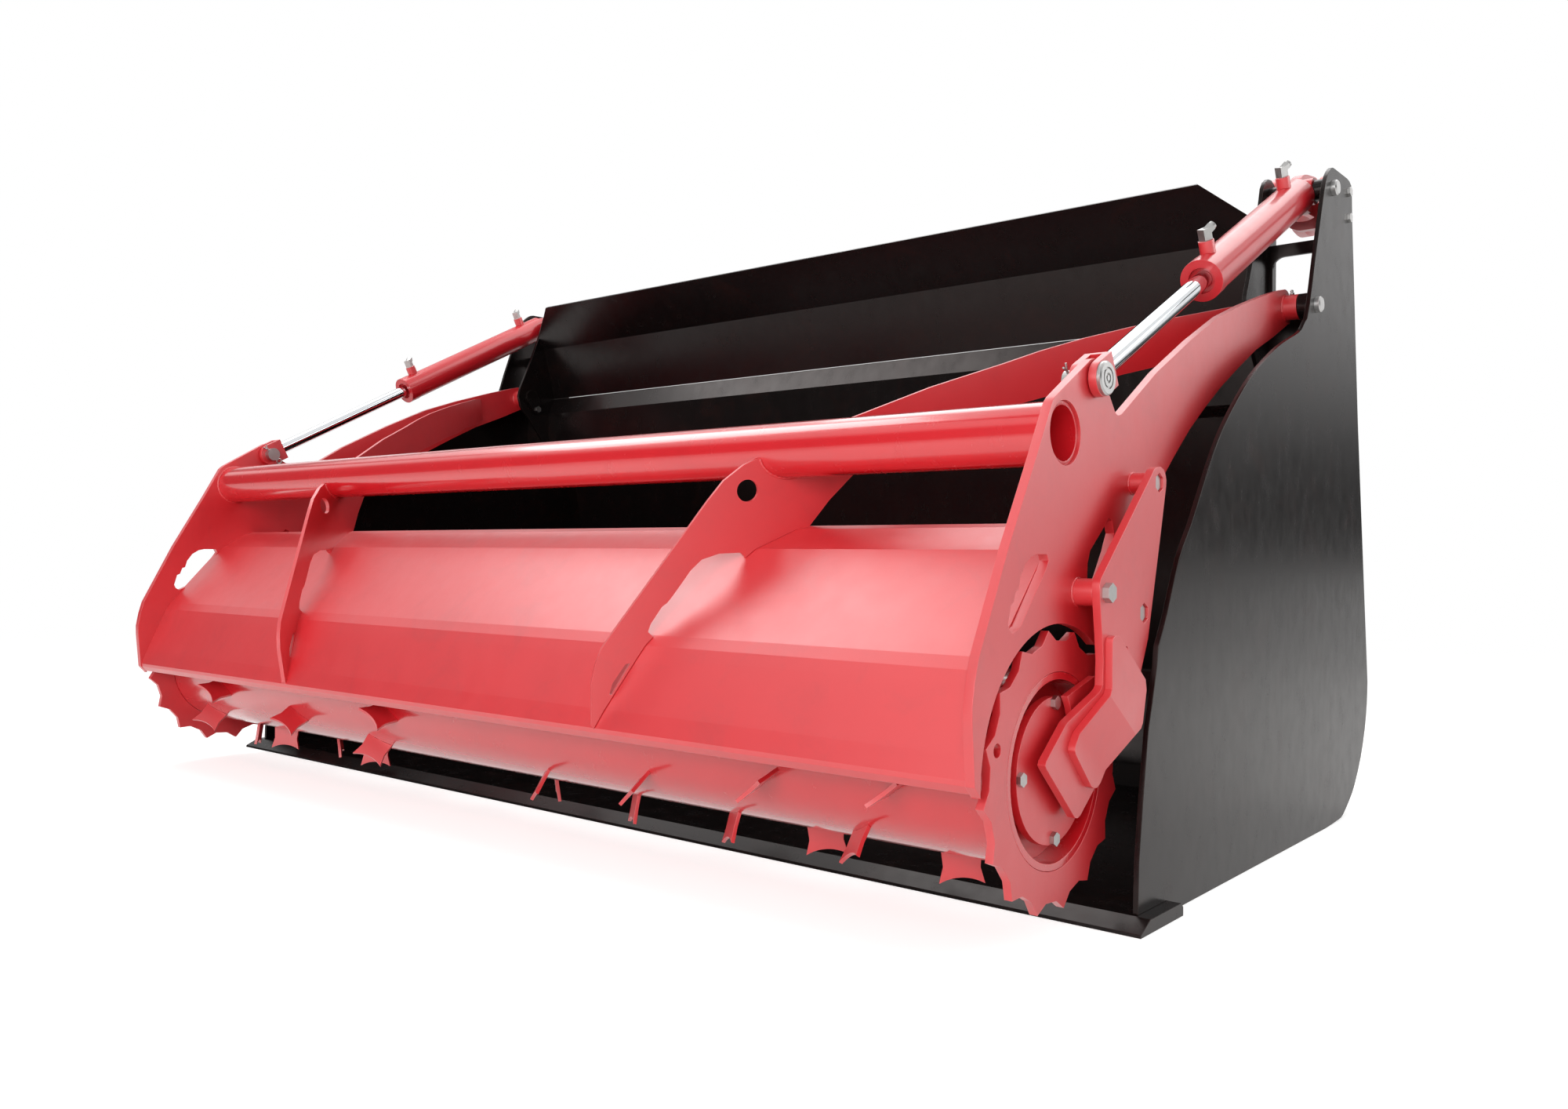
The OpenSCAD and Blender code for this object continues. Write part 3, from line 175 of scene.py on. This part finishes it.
def makePaintedSteel(look):
    material, tree = newMaterial(look["name"])
    place = addNode(tree, "ShaderNodeTexCoord").outputs["Object"]
    cloud = addNode(tree, "ShaderNodeTexNoise",
                    {"Scale": noiseScale(look["cloudMm"]), "Detail": 5.0, "Roughness": 0.6},
                    {"Vector": place})
    peel = addNode(tree, "ShaderNodeTexNoise",
                   {"Scale": noiseScale(look["peelMm"]), "Detail": 1.0}, {"Vector": place})
    stretched = addNode(tree, "ShaderNodeMapping", {"Scale": look["smearStretch"]},
                        {"Vector": place})
    smear = addNode(tree, "ShaderNodeTexNoise",
                    {"Scale": noiseScale(paintPattern["smearMm"]), "Detail": 6.0,
                     "Roughness": 0.62}, {"Vector": stretched.outputs[0]})
    mark = addNode(tree, "ShaderNodeTexNoise",
                   {"Scale": noiseScale(paintPattern["markMm"]), "Detail": 7.0, "Roughness": 0.7,
                    "Distortion": 0.6}, {"Vector": place})
    coat = addNode(tree, "ShaderNodeMix",
                   {"data_type": "RGBA", 6: linearColour(look["colour"]),
                    7: linearColour(look["deeper"])}, {0: cloud.outputs["Fac"]})
    patch = addNode(tree, "ShaderNodeMapRange",
                    {"From Min": paintPattern["markRange"][0],
                     "From Max": paintPattern["markRange"][1],
                     "To Min": 0.0, "To Max": look["stainShare"]}, {"Value": mark.outputs["Fac"]})
    stained = addNode(tree, "ShaderNodeMix",
                      {"data_type": "RGBA", 7: linearColour(look["stain"])},
                      {0: patch.outputs[0], 6: coat.outputs[2]})
    # the rounded normal leaves the plain one only near an edge
    rounded = addNode(tree, "ShaderNodeBevel", {"samples": 3, "Radius": look["edgeMm"] * mm})
    plain = addNode(tree, "ShaderNodeNewGeometry")
    along = addNode(tree, "ShaderNodeVectorMath", {"operation": "DOT_PRODUCT"},
                    {0: rounded.outputs[0], 1: plain.outputs["Normal"]})
    rim = addNode(tree, "ShaderNodeMapRange",
                  {"From Min": paintPattern["edgeRange"][0],
                   "From Max": paintPattern["edgeRange"][1],
                   "To Min": 0.0, "To Max": look["edgeShare"]}, {"Value": along.outputs["Value"]})
    # edge mask: the edge colour is a painted highlight on the red paints and worn edges on the
    # black
    edgeHighlightAndWear = addNode(tree, "ShaderNodeMath",
                   {"operation": "MULTIPLY", 1: paintPattern["edgeGain"], "use_clamp": True},
                   {0: rim.outputs[0]})
    broken = addNode(tree, "ShaderNodeMath", {"operation": "MULTIPLY"},
                     {0: edgeHighlightAndWear.outputs[0], 1: cloud.outputs["Fac"]})
    colour = addNode(tree, "ShaderNodeMix", {"data_type": "RGBA", 7: linearColour(look["edge"])},
                     {0: broken.outputs[0], 6: stained.outputs[2]})
    gloss = addNode(tree, "ShaderNodeMapRange",
                    {"From Min": paintPattern["smearRange"][0],
                     "From Max": paintPattern["smearRange"][1],
                     "To Min": look["roughness"][0], "To Max": look["roughness"][1]},
                    {"Value": smear.outputs["Fac"]})
    bump = addNode(tree, "ShaderNodeBump",
                   {"Strength": paintPattern["peelStrength"],
                    "Distance": look["peelDepthMm"] * mm}, {"Height": peel.outputs["Fac"]})
    paint = addNode(tree, "ShaderNodeBsdfPrincipled",
                    {"Metallic": 0.0, "IOR": look["ior"],
                     "Specular Tint": linearColour(look["tint"]), "Coat Weight": look["coat"],
                     "Coat Roughness": look["coatRoughness"], "Coat IOR": look["coatIor"]},
                    {"Base Color": colour.outputs[2], "Roughness": gloss.outputs[0],
                     "Normal": bump.outputs[0]})
    addNode(tree, "ShaderNodeOutputMaterial", {}, {"Surface": paint.outputs[0]})
    return material


# Bare metals: the grain left by the tool breaks the mirror, and smears change its gloss

# Hard chrome, ground and polished: the room shows in clear bands along the rod
hardChrome = {
    "name": "groundHardChrome",
    "colour": "#e9eaec",
    "deeper": "#d3d6da",
    "roughness": (0.03, 0.07),
    "grainMm": 1.2,
    "grainDepthMm": 0.002,
}

# Bright steel, turned: satin, with a soft highlight along each pin
turnedSteel = {
    "name": "turnedBrightSteel",
    "colour": "#c9c8c7",
    "deeper": "#adacab",
    "roughness": (0.3, 0.42),
    "grainMm": 1.6,
    "grainDepthMm": 0.02,
}

# Zinc plate on bolts and fittings: much like the turned steel, with a coarser grain
zincPlate = {
    "name": "zincPlatedSteel",
    "colour": "#cbcac8",
    "deeper": "#a9a8a7",
    "roughness": (0.3, 0.44),
    "grainMm": 3.0,
    "grainDepthMm": 0.02,
}

# What all bare metals share
metalPattern = {
    "smearMm": 14,
    "smearRange": (0.3, 0.7),
    "grainStrength": 0.3,
}


def makeBareMetal(look):
    material, tree = newMaterial(look["name"])
    place = addNode(tree, "ShaderNodeTexCoord").outputs["Object"]
    grain = addNode(tree, "ShaderNodeTexNoise",
                    {"Scale": noiseScale(look["grainMm"]), "Detail": 2.0}, {"Vector": place})
    smear = addNode(tree, "ShaderNodeTexNoise",
                    {"Scale": noiseScale(metalPattern["smearMm"]), "Detail": 5.0,
                     "Roughness": 0.65}, {"Vector": place})
    colour = addNode(tree, "ShaderNodeMix",
                     {"data_type": "RGBA", 6: linearColour(look["colour"]),
                      7: linearColour(look["deeper"])}, {0: smear.outputs["Fac"]})
    gloss = addNode(tree, "ShaderNodeMapRange",
                    {"From Min": metalPattern["smearRange"][0],
                     "From Max": metalPattern["smearRange"][1],
                     "To Min": look["roughness"][0], "To Max": look["roughness"][1]},
                    {"Value": smear.outputs["Fac"]})
    bump = addNode(tree, "ShaderNodeBump",
                   {"Strength": metalPattern["grainStrength"],
                    "Distance": look["grainDepthMm"] * mm}, {"Height": grain.outputs["Fac"]})
    metal = addNode(tree, "ShaderNodeBsdfPrincipled", {"Metallic": 1.0},
                    {"Base Color": colour.outputs[2], "Roughness": gloss.outputs[0],
                     "Normal": bump.outputs[0]})
    addNode(tree, "ShaderNodeOutputMaterial", {}, {"Surface": metal.outputs[0]})
    return material


finishes = {
    "red_paint": makePaintedSteel(redPowderCoat),
    "black_paint": makePaintedSteel(blackBucketPaint),
    "chrome": makeBareMetal(hardChrome),
    "bright_steel": makeBareMetal(turnedSteel),
    "zinc_steel": makeBareMetal(zincPlate),
    "cast_motor": makePaintedSteel(motorCasting),
    "tube_enamel": makePaintedSteel(tubeEnamel),
    "barrel_lacquer": makePaintedSteel(barrelLacquer),
}

# Red nodes that are glossier than the plates
glossier = {
    "cross_tube": "tube_enamel",
    "drum": "tube_enamel",
    "barrel_right": "barrel_lacquer",
    "barrel_left": "barrel_lacquer",
    "gland_right": "barrel_lacquer",
    "gland_left": "barrel_lacquer",
}
print("stage: materials made,", len(finishes))


# CAD nodes: finish by the record's slot, with small bevels on the sharper edges

bevels = {
    "plateMm": 0.6,            # sheared and deburred plates
    "smallMm": 0.4,            # bolts, fittings, pins and ground knives
    "segments": 2,
    "angle": 32,               # degrees; edges sharper than this get a bevel
    "joinMm": 0.02,            # corners closer than this are one
    "flatWeight": 100,         # large faces keep their own normal, and only the bevels shade round
    "flatLimit": 0.001,
    # words in the names of small parts
    "small": ("bolts", "fittings", "pin", "rod", "keepers", "knives", "hook", "barrel"),
    # and of parts with short edges, where a bevel stops at the next one
    "held": ("bolts", "fittings", "pin", "rod", "keepers", "rib", "hitch_hook"),
    # nodes whose flat faces meet at shallow folds
    "folded": ("hood", "upper_panel", "cross_beam", "wear_bar"),
}

for row in frame["record"]["subparts"]:
    piece = nodes[row["node"]]
    piece.data.materials.clear()
    finish = glossier.get(row["node"], row["material_slot"])
    piece.data.materials.append(finishes[finish])
    customNormals = piece.data.attributes.get("custom_normal")
    if customNormals:
        piece.data.attributes.remove(customNormals)
    isFolded = row["node"] in bevels["folded"]
    piece.data.polygons.foreach_set("use_smooth", [not isFolded] * len(piece.data.polygons))
    joined = piece.modifiers.new("joinFaces", "WELD")
    joined.merge_threshold = bevels["joinMm"] * mm
    isSmall = any(word in row["node"] for word in bevels["small"])
    bevel = piece.modifiers.new("deburr", "BEVEL")
    bevel.width = (bevels["smallMm"] if isSmall else bevels["plateMm"]) * mm
    bevel.segments = bevels["segments"]
    bevel.limit_method = "ANGLE"
    bevel.angle_limit = math.radians(bevels["angle"])
    bevel.use_clamp_overlap = any(word in row["node"] for word in bevels["held"])
    bevel.loop_slide = False
    if isFolded:
        continue
    evened = piece.modifiers.new("evenShading", "WEIGHTED_NORMAL")
    evened.mode = "FACE_AREA_WITH_ANGLE"
    evened.weight = bevels["flatWeight"]
    evened.thresh = bevels["flatLimit"]
print("stage: nodes dressed")


# Helpers for the pieces that are made here

def joinRings(form, here, there):
    for k in range(len(here)):
        j = (k + 1) % len(here)
        form.faces.new((here[k], here[j], there[j], there[k]))


def finishPiece(name, form, body, slot):
    bmesh.ops.recalc_face_normals(form, faces=form.faces)
    mesh = bpy.data.meshes.new(name)
    form.to_mesh(mesh)
    form.free()
    mesh.polygons.foreach_set("use_smooth", [True] * len(mesh.polygons))
    mesh.materials.append(finishes[slot])
    piece = addObject(name, mesh)
    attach(piece, body)


# Weld beads: a rounded string of overlapping ripples, painted over with the plates

weldLook = {
    "size": 2.6,               # millimetres, half the width of the bead
    "ripple": 0.13,            # share by which each ripple swells
    "perRipple": 4,            # steps along the seam for one ripple
    "around": 8,               # corners of a cross-section
    "endShare": 0.45,          # share of the size that an open bead ends with
}
sleeveWeldLook = dict(weldLook, size=2.0)
spacerWeldLook = dict(weldLook, size=1.8)


def addBead(name, points, look, closed=True):
    # points: metres along the seam, with the direction in which the bead stands out
    form = bmesh.new()
    rings = []
    count = len(points)
    angles = [math.tau * k / look["around"] for k in range(look["around"])]
    for i, (spot, out) in enumerate(points):
        spot, out = Vector(spot), Vector(out).normalized()
        before = Vector(points[i - 1][0] if closed or i else points[0][0])
        after = Vector(points[(i + 1) % count][0] if closed or i < count - 1 else points[-1][0])
        side = (after - before).normalized().cross(out)
        swell = 1.0 + look["ripple"] * math.sin(i * math.tau / look["perRipple"])
        size = look["size"] * mm * swell
        if not closed and i in (0, count - 1):
            size *= look["endShare"]
        rings.append([form.verts.new(spot + size * (math.cos(a) * side + math.sin(a) * out))
                      for a in angles])
    for here, there in zip(rings, rings[1:]):
        joinRings(form, here, there)
    if closed:
        joinRings(form, rings[-1], rings[0])
    else:
        form.faces.new(rings[0][::-1])
        form.faces.new(rings[-1])
    finishPiece(name, form, "grab", "red_paint")


def ringPath(x, centre, radius, outX, count, start=0.0, stop=360.0):
    # a circle around the X axis; the bead leans out along X and away from the centre
    closed = stop - start >= 360
    steps = count if closed else count - 1
    points = []
    for i in range(count):
        a = math.radians(start + (stop - start) * i / steps)
        points.append(((x, centre[0] + radius * math.cos(a), centre[1] + radius * math.sin(a)),
                       (outX, math.cos(a), math.sin(a))))
    return points


# Where the seams lie: metres in the frame, a place being its Y and Z

tubeLow, tubeHigh = (Vector(c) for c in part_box("cross_tube"))
armLow, armHigh = (Vector(c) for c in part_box("arm_right"))
tubeCentre = ((tubeLow.y + tubeHigh.y) / 2, (tubeLow.z + tubeHigh.z) / 2)
tubeRadius = (tubeHigh.z - tubeLow.z) / 2
tubeSeam = {
    "proud": 0.0006,           # how far the middle of the bead stands off arm and tube
    "steps": 132,
}
ribSeam = {
    "x": 0.680932,             # where the rib's middle plane crosses the tube
    "yShare": 0.5635,          # how far that plane runs outwards for each metre back
    "zShare": 0.1705,          # and for each metre up
    "halfThick": 0.004,
    "from": 200, "to": 396,    # the part of the tube that the rib holds, degrees
    "proud": 0.0005,
    "steps": 84,
}
sleeveSeam = {"place": (0.822275, 1.00323), "radius": 0.024, "steps": 72}
spacerSeams = {
    "top": {"place": (0.136186, 0.632294), "radius": 0.016, "steps": 60},
    "mid": {"place": (-0.0397308, 0.473488), "radius": 0.019, "steps": 60},
}


def ribPath(way, facing):
    # the seam between the tube and one face of the oblique rib
    slant = math.sqrt(1 + ribSeam["yShare"] ** 2 + ribSeam["zShare"] ** 2)
    away = Vector((facing, -facing * ribSeam["yShare"], -facing * ribSeam["zShare"])) / slant
    around = ringPath(0, (0, 0), tubeRadius + ribSeam["proud"], 0, ribSeam["steps"],
                      ribSeam["from"], ribSeam["to"])
    points = []
    for (_, y, z), (_, outY, outZ) in around:
        level = ribSeam["x"] + ribSeam["yShare"] * y + ribSeam["zShare"] * z
        level += facing * ribSeam["halfThick"] * slant
        out = Vector((0, outY, outZ)) + away
        points.append(((way * level, tubeCentre[0] + y, tubeCentre[1] + z),
                       (way * out.x, out.y, out.z)))
    return points


for sideName, way in sides:
    addBead("weld_tube_arm_" + sideName,
            ringPath(way * (armLow.x - tubeSeam["proud"]), tubeCentre,
                     tubeRadius + tubeSeam["proud"], -way, tubeSeam["steps"]), weldLook)
    for face, facing in (("front", 1), ("back", -1)):
        addBead("weld_tube_rib_%s_%s" % (face, sideName), ribPath(way, facing), weldLook,
                closed=False)
    for face, x, outX in (("out", armHigh.x, way), ("in", armLow.x, -way)):
        addBead("weld_sleeve_%s_%s" % (face, sideName),
                ringPath(way * x, sleeveSeam["place"], sleeveSeam["radius"], outX,
                         sleeveSeam["steps"]), sleeveWeldLook)
    for spacer, seam in spacerSeams.items():
        addBead("weld_spacer_%s_%s" % (spacer, sideName),
                ringPath(way * armHigh.x, seam["place"], seam["radius"], way, seam["steps"]),
                spacerWeldLook)
print("stage: weld beads laid")


# Grease nipples on the arm sleeves: a turned body with a ball head on a hexagon

nippleLook = {
    # millimetres from the axis and along it
    "profile": [(0.0, -0.6), (4.4, -0.6), (4.4, 3.0), (2.6, 3.6), (2.6, 5.2), (3.1, 6.2),
                (3.1, 7.2), (1.9, 8.9), (0.8, 9.3), (0.0, 8.9)],
    "around": 24,
    "hexRows": (1, 2),         # rows of the profile that take the hexagon
    "x": 1.185,                # metres, where it stands along the sleeve
    "lean": 12,                # degrees towards the front
    "joinMm": 0.01,            # corners closer than this are one, as at the two tips
}

for sideName, way in sides:
    lean = math.radians(90 + nippleLook["lean"])
    axis = Vector((0, math.cos(lean), math.sin(lean)))
    across = Vector((1, 0, 0))
    third = axis.cross(across)
    seat = Vector((way * nippleLook["x"], *sleeveSeam["place"])) + axis * sleeveSeam["radius"]
    form = bmesh.new()
    rows = []
    for row, (radius, height) in enumerate(nippleLook["profile"]):
        ring = []
        for k in range(nippleLook["around"]):
            a = math.tau * k / nippleLook["around"]
            reach = radius
            if row in nippleLook["hexRows"]:
                reach = radius * math.cos(math.pi / 6) / math.cos((a % (math.pi / 3)) - math.pi / 6)
            outwards = math.cos(a) * across + math.sin(a) * third
            ring.append(form.verts.new(seat + mm * (height * axis + reach * outwards)))
        rows.append(ring)
    for here, there in zip(rows, rows[1:]):
        joinRings(form, here, there)
    bmesh.ops.remove_doubles(form, verts=form.verts, dist=nippleLook["joinMm"] * mm)
    finishPiece("grease_nipple_" + sideName, form, "grab", "zinc_steel")
print("stage: nipples set")


# Studio: white surround, pale floor, soft lamps

studio = {
    "skyLight": 0.40,          # what the surround gives to diffuse surfaces
    # height and brightness of the light panels that gloss shows
    "panels": [(0.0, 0.08), (0.07, 0.10), (0.20, 1.0), (0.40, 1.0), (0.41, 0.04), (0.48, 0.04),
               (0.49, 1.0), (1.0, 1.0)],
    "frontDark": 0.36,         # how much higher the dark foot of the room reaches in front
    "frontRange": (0.05, -0.35),   # direction along Y at which that starts and is full
    "floorColour": "#dad9d7",
    "floorRoughness": 0.9,
    "floorGlow": 0.68,         # what the floor adds for the camera
    "floorMirrorGlow": 0.45,   # and for gloss
    "floorNear": 2.6,          # metres from the part at which the floor starts to turn white
    "floorFar": 7.0,
    "floorReach": 60,
    "floorGap": 0.0005,        # metres that it lies below the part, so that no faces coincide
}


def grey(level):
    return (level, level, level, 1.0)


world = bpy.data.worlds.new("whiteSurround")
bpy.context.scene.world = world
world.use_nodes = True
sky = world.node_tree
sky.nodes.clear()
direction = addNode(sky, "ShaderNodeTexCoord").outputs["Generated"]
axes = addNode(sky, "ShaderNodeSeparateXYZ", {}, {0: direction})
ahead = addNode(sky, "ShaderNodeMapRange",
                {"interpolation_type": "SMOOTHSTEP", "From Min": studio["frontRange"][0],
                 "From Max": studio["frontRange"][1], "To Min": 0.0,
                 "To Max": -studio["frontDark"]}, {"Value": axes.outputs["Y"]})
shifted = addNode(sky, "ShaderNodeMath", {"operation": "ADD"},
                  {0: axes.outputs["Z"], 1: ahead.outputs[0]})
panels = addNode(sky, "ShaderNodeValToRGB", {}, {"Fac": shifted.outputs[0]})
panels.color_ramp.interpolation = "LINEAR"
stops = panels.color_ramp.elements
stops[0].position, stops[0].color = studio["panels"][0][0], grey(studio["panels"][0][1])
stops[1].position, stops[1].color = studio["panels"][-1][0], grey(studio["panels"][-1][1])
for position, brightness in studio["panels"][1:-1]:
    stops.new(position).color = grey(brightness)
band = addNode(sky, "ShaderNodeRGBToBW", {}, {0: panels.outputs["Color"]})
skyRays = addNode(sky, "ShaderNodeLightPath")
skyMirrored = addNode(sky, "ShaderNodeMath", {"operation": "ADD", "use_clamp": True},
                      {0: skyRays.outputs["Is Glossy Ray"],
                       1: skyRays.outputs["Is Transmission Ray"]})
shown = addNode(sky, "ShaderNodeMix", {"data_type": "FLOAT", 2: studio["skyLight"]},
                {0: skyMirrored.outputs[0], 3: band.outputs[0]})
skyStrength = addNode(sky, "ShaderNodeMix", {"data_type": "FLOAT", 3: 1.0},
                      {0: skyRays.outputs["Is Camera Ray"], 2: shown.outputs[0]})
skyGlow = addNode(sky, "ShaderNodeBackground", {"Color": grey(1)},
                  {"Strength": skyStrength.outputs[0]})
addNode(sky, "ShaderNodeOutputWorld", {}, {"Surface": skyGlow.outputs[0]})

# Pale floor board: matt, it keeps the part's shadow and fades to white far from the part
floorMaterial, board = newMaterial("paleFloorBoard")
floorRays = addNode(board, "ShaderNodeLightPath")
distance = addNode(board, "ShaderNodeVectorMath", {"operation": "LENGTH"},
                   {0: addNode(board, "ShaderNodeTexCoord").outputs["Object"]})
fade = addNode(board, "ShaderNodeMapRange",
               {"interpolation_type": "SMOOTHSTEP", "From Min": studio["floorNear"],
                "From Max": studio["floorFar"]}, {"Value": distance.outputs["Value"]})
white = addNode(board, "ShaderNodeEmission", {"Color": grey(1), "Strength": 1.0})
matt = addNode(board, "ShaderNodeBsdfPrincipled",
               {"Base Color": linearColour(studio["floorColour"]),
                "Roughness": studio["floorRoughness"], "Specular IOR Level": 0.0})
floorMirrored = addNode(board, "ShaderNodeMath", {"operation": "ADD", "use_clamp": True},
                        {0: floorRays.outputs["Is Glossy Ray"],
                         1: floorRays.outputs["Is Transmission Ray"]})
direct = addNode(board, "ShaderNodeMath", {"operation": "MULTIPLY", 1: studio["floorGlow"]},
                 {0: floorRays.outputs["Is Camera Ray"]})
floorStrength = addNode(board, "ShaderNodeMath",
                        {"operation": "MULTIPLY_ADD", 1: studio["floorMirrorGlow"]},
                        {0: floorMirrored.outputs[0], 2: direct.outputs[0]})
lift = addNode(board, "ShaderNodeEmission", {"Color": grey(1)},
               {"Strength": floorStrength.outputs[0]})
whole = addNode(board, "ShaderNodeAddShader", {}, {0: matt.outputs[0], 1: lift.outputs[0]})
farShare = addNode(board, "ShaderNodeMath", {"operation": "MULTIPLY"},
                   {0: fade.outputs[0], 1: floorRays.outputs["Is Camera Ray"]})
faded = addNode(board, "ShaderNodeMixShader", {},
                {0: farShare.outputs[0], 1: whole.outputs[0], 2: white.outputs[0]})
addNode(board, "ShaderNodeOutputMaterial", {}, {"Surface": faded.outputs[0]})

floorMesh = bpy.data.meshes.new("floor")
half = studio["floorReach"]
floorMesh.from_pydata([(-half, -half, 0), (half, -half, 0), (half, half, 0), (-half, half, 0)],
                      [], [(0, 1, 2, 3)])
floor = addObject("floor", floorMesh)
floor.location.z = cadLow.z - studio["floorGap"]
floorMesh.materials.append(floorMaterial)

# Lamps: where each stands, what it faces, its width and height in metres, and its power in watts
lamps = {
    "frontSoftbox": {"place": (1.7, -4.3, 1.7), "target": (0.1, 0.1, 0.5), "size": (5.0, 2.2),
                     "watts": 158},
    "topSoftbox": {"place": (0.0, 2.2, 3.8), "target": (0, 0.3, 0.5), "size": (4.4, 2.0),
                   "watts": 58},
    "leftSoftbox": {"place": (-2.0, -0.2, 3.5), "target": (0.4, -0.1, 0.5), "size": (1.9, 1.9),
                    "watts": 46},
    "sideSoftbox": {"place": (4.4, 3.0, 2.1), "target": (1.0, 0.3, 0.6), "size": (2.8, 2.4),
                    "watts": 52},
}

for name, lamp in lamps.items():
    light = bpy.data.lights.new(name, "AREA")
    light.shape = "RECTANGLE"
    light.size, light.size_y = lamp["size"]
    light.energy = lamp["watts"]
    holder = addObject(name, light)
    holder.location = lamp["place"]
    holder.rotation_mode = "QUATERNION"
    aim = Vector(lamp["target"]) - Vector(lamp["place"])
    holder.rotation_quaternion = aim.to_track_quat("-Z", "Y")

# Camera: solved from the photograph, in the same frame as the part
cameraLook = {
    "place": (1.954908, -1.614758, 0.519805),
    "turn": 39.816,            # to the left of straight ahead
    "pitch": 0.068,
    "roll": 0.487,
    "lensMm": 28.395,
    "sensorMm": 36,
    "clip": (0.05, 300),       # metres
}
turn, pitch, roll = (math.radians(cameraLook[k]) for k in ("turn", "pitch", "roll"))
forward = Vector((-math.sin(turn) * math.cos(pitch), math.cos(turn) * math.cos(pitch),
                  math.sin(pitch)))
right = Vector((math.cos(turn), math.sin(turn), 0))
up = right.cross(forward)
imageRight = math.cos(roll) * right + math.sin(roll) * up
imageUp = -math.sin(roll) * right + math.cos(roll) * up
camera = addObject("camera", bpy.data.cameras.new("camera"))
camera.data.sensor_width = cameraLook["sensorMm"]
camera.data.lens = cameraLook["lensMm"]
camera.data.clip_start, camera.data.clip_end = cameraLook["clip"]
camera.matrix_world = Matrix((
    (imageRight.x, imageUp.x, -forward.x, cameraLook["place"][0]),
    (imageRight.y, imageUp.y, -forward.y, cameraLook["place"][1]),
    (imageRight.z, imageUp.z, -forward.z, cameraLook["place"][2]),
    (0, 0, 0, 1)))
bpy.context.scene.camera = camera
bpy.context.scene.view_settings.view_transform = "Standard"
print("stage: studio and camera set")
